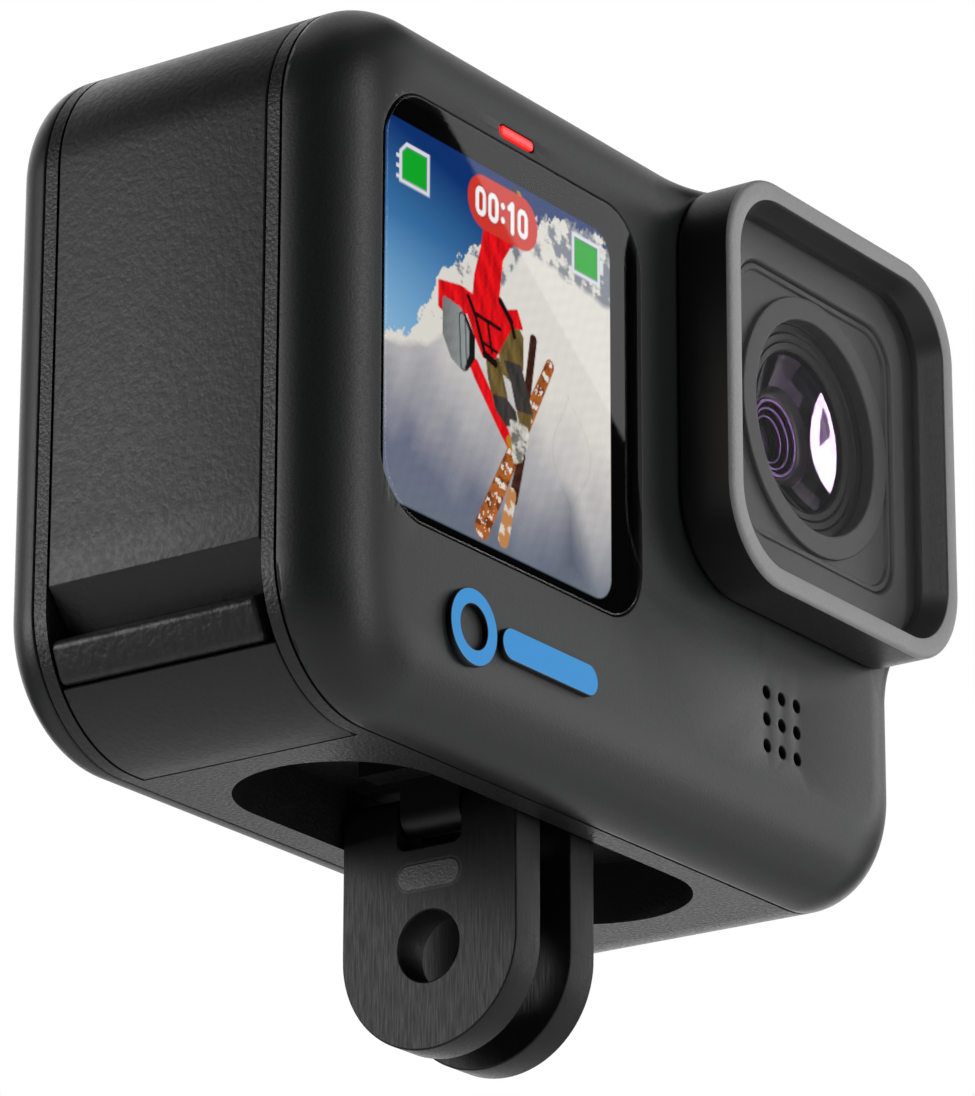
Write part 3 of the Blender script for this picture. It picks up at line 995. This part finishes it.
class CAMERA_OT_display(bpy.types.Operator):
    """Front window glass, the lit picture behind it, the status light, badge and microphone"""
    bl_idname = "camera_part.display"
    bl_label = "Front display"

    def execute(self, context):
        half = (WINDOW_HIGH - WINDOW_LOW) / 2
        p, n = rounded(half[0], half[2], 4.3, 20, 10)
        islands = plate([(p, n, 1)], WINDOW_LOW[1], WINDOW_HIGH[1], 0.16, facing_front(WINDOW[0], WINDOW[2]),
                        back=0.05)
        build("window_glass", "camera_body", islands, [finish_of("window_clear")],
              ["front_window_glass"])
        side = half[0] - 0.02
        u, v = np.meshgrid(np.linspace(-side, side, 275), np.linspace(-side, side, 300))
        y = WINDOW_HIGH[1] + 0.12
        points = np.stack([WINDOW[0] + u, np.full_like(u, y), WINDOW[2] + v], -1)
        obj = build("display_picture", "camera_body", [grid(points)], [finish_of("picture")])
        mesh = obj.data
        co = np.empty(len(mesh.vertices) * 3)
        mesh.vertices.foreach_get("co", co)
        co = co.reshape(-1, 3) / MM
        if mesh.polygons[0].normal.y > 0:
            mesh.flip_normals()
        colours = np.ones((len(co), 4), np.float32)
        colours[:, :3] = paint(co[:, 0] - WINDOW[0], co[:, 2] - WINDOW[2])
        layer = mesh.attributes.new("picture", "FLOAT_COLOR", "POINT")
        layer.data.foreach_set("color", colours.ravel())
        # Status light: a lit pill with a paler middle
        size, middle = LIGHT_HIGH - LIGHT_LOW - 0.86, (LIGHT_LOW + LIGHT_HIGH) / 2
        place = facing_front(middle[0], middle[2])
        p, n = stadium(size[0], size[2])
        islands = plate([(p, n, 1)], FACE_Y - 0.02, FACE_Y + 0.7, 0.08, place)
        q, m = stadium(size[0] - 0.36, size[2] - 0.36)
        islands += plate([(q, m, 1)], FACE_Y - 0.05, FACE_Y + 0.3, 0.05, place, slots=(1, 1))
        build("status_light", "camera_body", islands,
              [finish_of("red_light"), finish_of("red_light_middle")], ["status_light_guide"])
        # Badge: ring and bar, blue on top with black sides
        middle = (BADGE_LOW + BADGE_HIGH) / 2
        rise = (BADGE_HIGH - BADGE_LOW)[1]
        x0 = BADGE_LOW[0] + 2.7
        place = facing_front(0, middle[2])
        big, bn = circle(2.7)
        small, sn = circle(1.55)
        pieces = []
        for loops in ([(big + [x0, 0], bn, 1), (small + [x0, 0], -sn, 1)],
                      [(stadium(11.4, 2.3)[0] + [x0 + 9, 0], stadium(11.4, 2.3)[1], 1)]):
            pieces += plate(loops, BADGE_LOW[1], BADGE_LOW[1] + rise + 0.05, 0.06, place, steps=3,
                            slots=(0, 1))
        build("badge", "camera_body", pieces,
              [finish_of("blue_badge"), finish_of("badge_side")], ["front_badge"])
        return {"FINISHED"}


class CAMERA_OT_fingers(bpy.types.Operator):
    """Mounting fingers with rounded edges, bores, notches and magnet inserts"""
    bl_idname = "camera_part.fingers"
    bl_label = "Mounting fingers"

    def execute(self, context):
        edge = context.scene.camera_detail.finger_edge / MM
        r = (FINGER_HIGH[1] - FINGER_LOW[1]) / 2
        top = FINGER_HIGH[2] - (FINGER_HIGH[0] - FINGER_LOW[0]) / 2
        thick = FINGER_HIGH[0] - FINGER_LOW[0]
        notch, deep = 5.35 / 2, top - 2.65
        turn = np.linspace(math.pi, 2 * math.pi, 49)
        base = np.column_stack([r * np.cos(turn), r * np.sin(turn)])
        base_n = np.column_stack([np.cos(turn), np.sin(turn)])
        shape, shape_n = round_corners([[r, 0], [r, top], [notch, top], [notch, deep], [-notch, deep],
                                        [-notch, top],
                                        [-r, top], [-r, 0]], [0.01, 0.5, 0.3, -0.7, -0.7, 0.3, 0.5, 0.01], 8)
        outer = np.concatenate([base[1:-1], shape])
        outer_n = np.concatenate([base_n[1:-1], shape_n])
        outer_n[47:47 + 9], outer_n[-9:] = [1, 0], [-1, 0]
        bore, bore_n = circle(2.55, 64)
        pill_z = (PILL_LOW + PILL_HIGH)[2] / 2
        pill, pill_n = stadium(5.7, 2.3)
        for side, name in ((-1, "left"), (1, "right")):
            inner = FINGER_HIGH[0]

            def place(q, s=side, i=inner):
                return np.stack([s * (q[..., 2] - i), q[..., 0], q[..., 1]], -1)
            loops = [(outer, outer_n, 1), (bore, -bore_n, 1)]
            islands = plate(loops, 0, thick, edge, place)
            # The magnet's groove and insert on the outer face, which is the far end of the thickness
            build(f"{name}_mount_finger", f"{name}_finger", islands,
                  [finish_of("finger_alloy")], [f"{name}_finger"])
            groove = plate([(pill + [0, pill_z], pill_n, 1)], thick - 0.3, thick + 0.004, 0.02, place)
            build(f"{name}_magnet_groove", f"{name}_finger", groove,
                  [finish_of("black_plastic")])
            small, small_n = stadium(5.3, 1.9)
            insert = plate([(small + [0, pill_z], small_n, 1)], thick - 0.3, thick + 0.05, 0.12, place)
            build(f"{name}_magnet_insert", f"{name}_finger", insert, [finish_of("magnet_face")],
                  [f"{name}_finger_magnet"])
            # Knuckles on the hinge line
            for k, (a, b) in enumerate(((-r, -notch - 0.02), (notch + 0.02, r))):
                angle = np.linspace(0, 2 * math.pi, 40, endpoint=False)
                rad = thick / 2
                prof = [(0.001, a), (rad - 0.3, a), (rad - 0.08, a + 0.08), (rad, a + 0.3), (rad, b - 0.3),
                        (rad - 0.08, b - 0.08), (rad - 0.3, b), (0.001, b)]
                rr, yy = np.array(prof).T
                pts = np.stack([side * (-inner + thick / 2) + rr[:, None] * np.cos(angle),
                                yy[:, None] + 0 * angle,
                                top + rr[:, None] * np.sin(angle)], -1)
                build(f"{name}_finger_knuckle_{k + 1}", f"{name}_finger",
                      [grid(pts, False, True)], [finish_of("finger_alloy")])
        return {"FINISHED"}


class CAMERA_OT_buttons(bpy.types.Operator):
    """Shutter and mode buttons with rounded caps"""
    bl_idname = "camera_part.buttons"
    bl_label = "Buttons"

    def execute(self, context):
        middle = (SHUTTER_LOW + SHUTTER_HIGH) / 2
        top = SHUTTER_HIGH[2]
        over = lambda q: np.stack([q[..., 0] + middle[0], q[..., 1] + middle[1], top - q[..., 2]], -1)
        p, n = stadium(13, 8)
        islands = plate([(p, n, 1)], 0, 2.0, 0.3, over)
        outer, on = circle(3, 64)
        inner, inn = circle(2.4, 64)
        build("shutter_cap", "shutter_button", islands, [finish_of("button_plastic")],
              ["shutter_button"])
        ring = plate([(outer, on, 1), (inner, -inn, 1)], -0.015, 0.3, 0.01, over)
        build("shutter_mark", "shutter_button", ring, [finish_of("red_light")], ["shutter_ring"])
        middle = (MODE_LOW + MODE_HIGH) / 2
        side = MODE_HIGH[0]
        across = lambda q: np.stack([side - q[..., 2], q[..., 1] + middle[1], q[..., 0] + middle[2]], -1)
        p, n = stadium(9, 5)
        build("mode_cap", "mode_button", plate([(p, n, 1)], 0, 2.0, 0.3, across),
              [finish_of("button_plastic")], ["mode_button"])
        return {"FINISHED"}


VIEW = np.array([0.7727, 0.5400, 0.3338])
CAMERA_AT = np.array([-0.335888, -0.236300, -0.114990])


class CAMERA_OT_stage(bpy.types.Operator):
    """Pale floor, bright background, soft cards, lamps and the camera"""
    bl_idname = "camera_part.stage"
    bl_label = "Studio"

    def execute(self, context):
        scene = context.scene
        scene.view_settings.view_transform = "Standard"
        stage = scene.camera_stage
        lens = bpy.data.cameras.new("camera")
        lens.lens, lens.sensor_width = 201.16, 36
        lens.clip_start, lens.clip_end = 0.01, 50
        camera = bpy.data.objects.new("camera", lens)
        scene.collection.objects.link(camera)
        forward = VIEW / np.linalg.norm(VIEW)
        right = np.cross(forward, [0, 0, 1])
        right /= np.linalg.norm(right)
        up = np.cross(right, forward)
        roll = math.radians(0.124)
        right, up = math.cos(roll) * right + math.sin(roll) * up, math.cos(roll) * up - math.sin(roll) * right
        camera.matrix_world = Matrix([[right[0], up[0], -forward[0], CAMERA_AT[0]],
                                      [right[1], up[1], -forward[1], CAMERA_AT[1]],
                                      [right[2], up[2], -forward[2], CAMERA_AT[2]], [0, 0, 0, 1]])
        scene.camera = camera
        # Pale matt floor, well below the hanging camera
        m, tree, s = material("pale_paper_floor", linear("#F4F4F4"), 0.9)
        grain(tree, s, 2, 0.01, (0.85, 0.95))
        self.card("floor", np.array([[-3, -3], [3, -3], [3, 3], [-3, 3]]), m,
                          lambda q: np.column_stack([q, np.full(4, -stage.floor_drop)]))
        world = bpy.data.worlds.new("studio")
        scene.world = world
        world.use_nodes = True
        tree = world.node_tree
        back = tree.nodes["Background"]
        back.inputs["Color"].default_value = (1, 1, 1, 1)
        dim = add(tree, "ShaderNodeBackground", Strength=0.02)
        seen = add(tree, "ShaderNodeLightPath").outputs["Is Camera Ray"]
        mixed = add(tree, "ShaderNodeMixShader", [(0, seen), (1, dim.outputs[0]), (2, back.outputs[0])])
        tree.links.new(mixed.outputs[0], tree.nodes["World Output"].inputs["Surface"])
        middle = np.array([0.0, 0.0, 0.030])

        def lamp(name, towards, wide, high, radiance, distance=0.6):
            """Upright area lamp whose face has that radiance, looking back at the middle of the camera."""
            direction = np.array(towards, float) / np.linalg.norm(towards)
            turn = Vector(-direction).to_track_quat("-Z", "Y").to_matrix().to_4x4()
            turn.translation = middle + direction * distance
            self.area(name, turn, wide, high, radiance)

        # The strengths of these lamps were fitted to studio tones by a least-squares solver, then rounded
        lamp("low_front_key", (0.85, -0.52, 0.0), 0.22, 0.22, 1.45 * stage.key)
        lamp("under_front_key", (0.85, -0.5, -0.3), 0.3, 0.3, 0.73 * stage.key)
        lamp("front_key", (0.62, -0.8, 0.0), 0.25, 0.25, 1.47 * stage.key)
        lamp("front_fill", (0.55, -0.8, 0.35), 0.25, 0.25, 0.74 * stage.key)
        lamp("high_front_key", (0.64, -0.42, 0.66), 0.25, 0.25, 0.7 * stage.key)
        lamp("right_front_key", (0.9, -0.3, 0.3), 0.16, 0.16, 1.89 * stage.key)
        lamp("right_high_fill", (0.97, -0.2, 0.45), 0.3, 0.3, 0.57 * stage.key)
        lamp("front_strip", (0.0, -0.97, 0.15), 0.1, 0.8, 5.24 * stage.key)
        lamp("left_front_fill", (-0.3, -0.9, 0.3), 0.36, 0.36, 0.26 * stage.key)
        lamp("side_key", (-0.65, 0.75, 0.1), 0.25, 0.25, 2.99 * stage.side)
        lamp("side_fill", (-0.8, 0.56, 0.1), 0.25, 0.25, 2.41 * stage.side)
        lamp("side_high_fill", (-0.75, 0.65, 0.3), 0.25, 0.25, 0.81 * stage.side)
        lamp("side_wide_fill", (-0.9, 0.35, 0.2), 0.25, 0.25, 1.09 * stage.side)
        lamp("under_fill", (0.7, 0.55, -0.45), 0.36, 0.36, 0.17)
        lamp("under_side_fill", (0.9, 0.42, -0.1), 0.3, 0.3, 0.78)
        lamp("background_card", forward, 1.0, 1.0, 1.0, 0.9)
        lamp("top_fill", (0.2, 0.3, 1.0), 0.5, 0.5, 0.7)
        lamp("rear_fill", (0.3, 1.0, 0.5), 0.5, 0.5, 0.9)
        # Two flagged cards, each lighting only its own pieces: one for the polished lens edge, far brighter
        # than the rest because that edge is a dark mirror, and one for the inside of the cover
        lamp("element_card", (-0.05, -0.93, 0.2), 0.34, 2.2, 60.0)
        lamp("throat_card", (-0.9, -0.3, 0.33), 0.3, 0.4, 2.0)
        # Slanted card whose reflection ends along a diagonal of the display glass
        start, end, far = (np.array(q) for q in ((0.3113, -0.2542, 0.2314), (0.3511, -0.2478, 0.1893),
                                                 (0.3463, -0.2439, 0.2245)))
        along = (end - start) / np.linalg.norm(end - start)
        across = far - start - ((far - start) @ along) * along
        across /= np.linalg.norm(across)
        away = np.cross(along, across)
        if away @ (start - middle) < 0:
            along, away = -along, -away
        centre = (start + end) / 2 + across * 0.03
        place = Matrix([[along[i], across[i], away[i], centre[i]] for i in range(3)] + [[0, 0, 0, 1]])
        self.area("glass_glare_card", place, 0.2, 0.06, stage.glare)
        return {"FINISHED"}

    def area(self, name, place, wide, high, radiance):
        """Area lamp, unseen by the camera, whose power is its radiance times pi times its area."""
        data = bpy.data.lights.new(name, "AREA")
        data.shape, data.size, data.size_y = "RECTANGLE", wide, high
        data.energy = radiance * math.pi * wide * high
        obj = bpy.data.objects.new(name, data)
        bpy.context.scene.collection.objects.link(obj)
        obj.matrix_world = place
        obj.visible_camera = False

    def card(self, name, corners, finish, place):
        """Flat four-sided stage card."""
        mesh = bpy.data.meshes.new(name)
        mesh.from_pydata(place(corners).tolist(), [], [[0, 1, 2, 3]])
        mesh.materials.append(finish)
        obj = bpy.data.objects.new(name, mesh)
        bpy.context.scene.collection.objects.link(obj)


class CAMERA_PT_panel(bpy.types.Panel):
    """Steps of the action camera's looks"""
    bl_label = "Action camera"
    bl_idname = "CAMERA_PT_panel"
    bl_space_type = "VIEW_3D"
    bl_region_type = "UI"
    bl_category = "Action camera"

    def draw(self, context):
        for step in STEPS:
            self.layout.operator(step.bl_idname)
        for settings in (context.scene.camera_casing, context.scene.camera_detail,
                         context.scene.camera_stage):
            for name in settings.__annotations__:
                self.layout.prop(settings, name)


SETTINGS = {"camera_casing": CasingSettings, "camera_detail": DetailSettings, "camera_stage": StageSettings}
STEPS = (CAMERA_OT_stage, CAMERA_OT_finishes, CAMERA_OT_front_shell, CAMERA_OT_rear_shell,
         CAMERA_OT_battery_door, CAMERA_OT_lens_cover, CAMERA_OT_lens, CAMERA_OT_display,
         CAMERA_OT_fingers, CAMERA_OT_buttons)


def register():
    for c in (*SETTINGS.values(), *STEPS, CAMERA_PT_panel):
        bpy.utils.register_class(c)
    for name, c in SETTINGS.items():
        setattr(bpy.types.Scene, name, bpy.props.PointerProperty(type=c))


def unregister():
    for name in SETTINGS:
        delattr(bpy.types.Scene, name)
    for c in reversed((*SETTINGS.values(), *STEPS, CAMERA_PT_panel)):
        bpy.utils.unregister_class(c)


def main():
    register()
    for step in STEPS:
        group, name = step.bl_idname.split(".")
        getattr(getattr(bpy.ops, group), name)()


if __name__ == "__main__":
    main()
